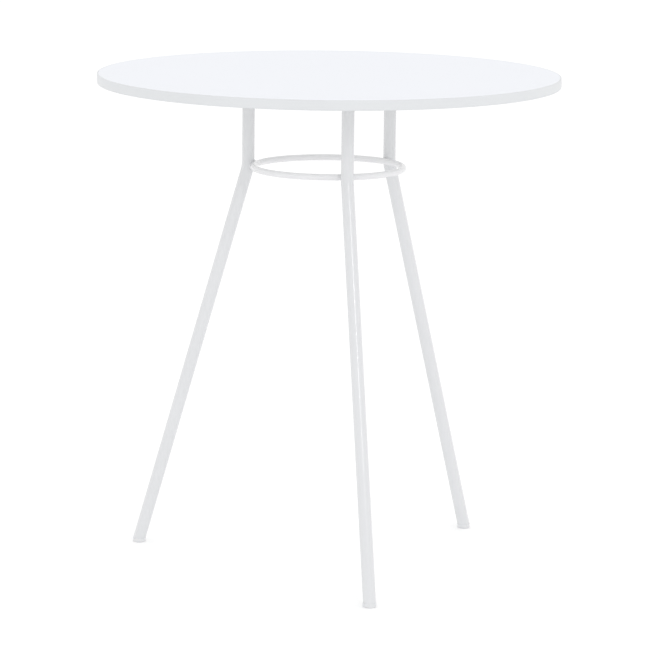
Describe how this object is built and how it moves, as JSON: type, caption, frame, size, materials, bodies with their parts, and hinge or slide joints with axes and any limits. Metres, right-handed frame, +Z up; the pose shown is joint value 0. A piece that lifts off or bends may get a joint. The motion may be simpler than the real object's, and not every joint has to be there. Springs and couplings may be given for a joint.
{
  "type": "round kitchen table",
  "caption": "Round kitchen table: a thin round top on bent tube legs, upright under the top, splayed below a welded rod ring.",
  "frame": {"origin": "on the floor, under the middle of the round top", "axes": "+Z up; -Y to the front, the way the front leg points; +X to the right, seen from the front"},
  "size_m": [0.7, 0.7, 0.75],
  "materials": {
    "core_board": "raw medium-density fibreboard",
    "laminate": "fine-grained satin laminate",
    "backing": "matt balancing laminate",
    "edging": "satin edge band",
    "powder_coat": "satin white powder coat on steel",
    "insert_brass": "turned",
    "glide_nylon": "moulded white nylon",
    "zinc_steel": "bright zinc plate"
  },
  "bodies": {
    "root": {"top_core": "core_board", "top_laminate": "laminate", "backing_laminate": "backing", "edge_band": "edging", "threaded_inserts": "insert_brass", "mounting_plate_front": "powder_coat", "mounting_plate_right": "powder_coat", "mounting_plate_left": "powder_coat", "plate_weld_front": "powder_coat", "plate_weld_right": "powder_coat", "plate_weld_left": "powder_coat", "leg_front": "powder_coat", "leg_right": "powder_coat", "leg_left": "powder_coat", "stretcher_ring": "powder_coat", "ring_weld_front": "powder_coat", "ring_weld_right": "powder_coat", "ring_weld_left": "powder_coat", "glide_front": "glide_nylon", "glide_right": "glide_nylon", "glide_left": "glide_nylon", "plate_screws": "zinc_steel", "screw_washers": "zinc_steel"}
  },
  "joints": []
}
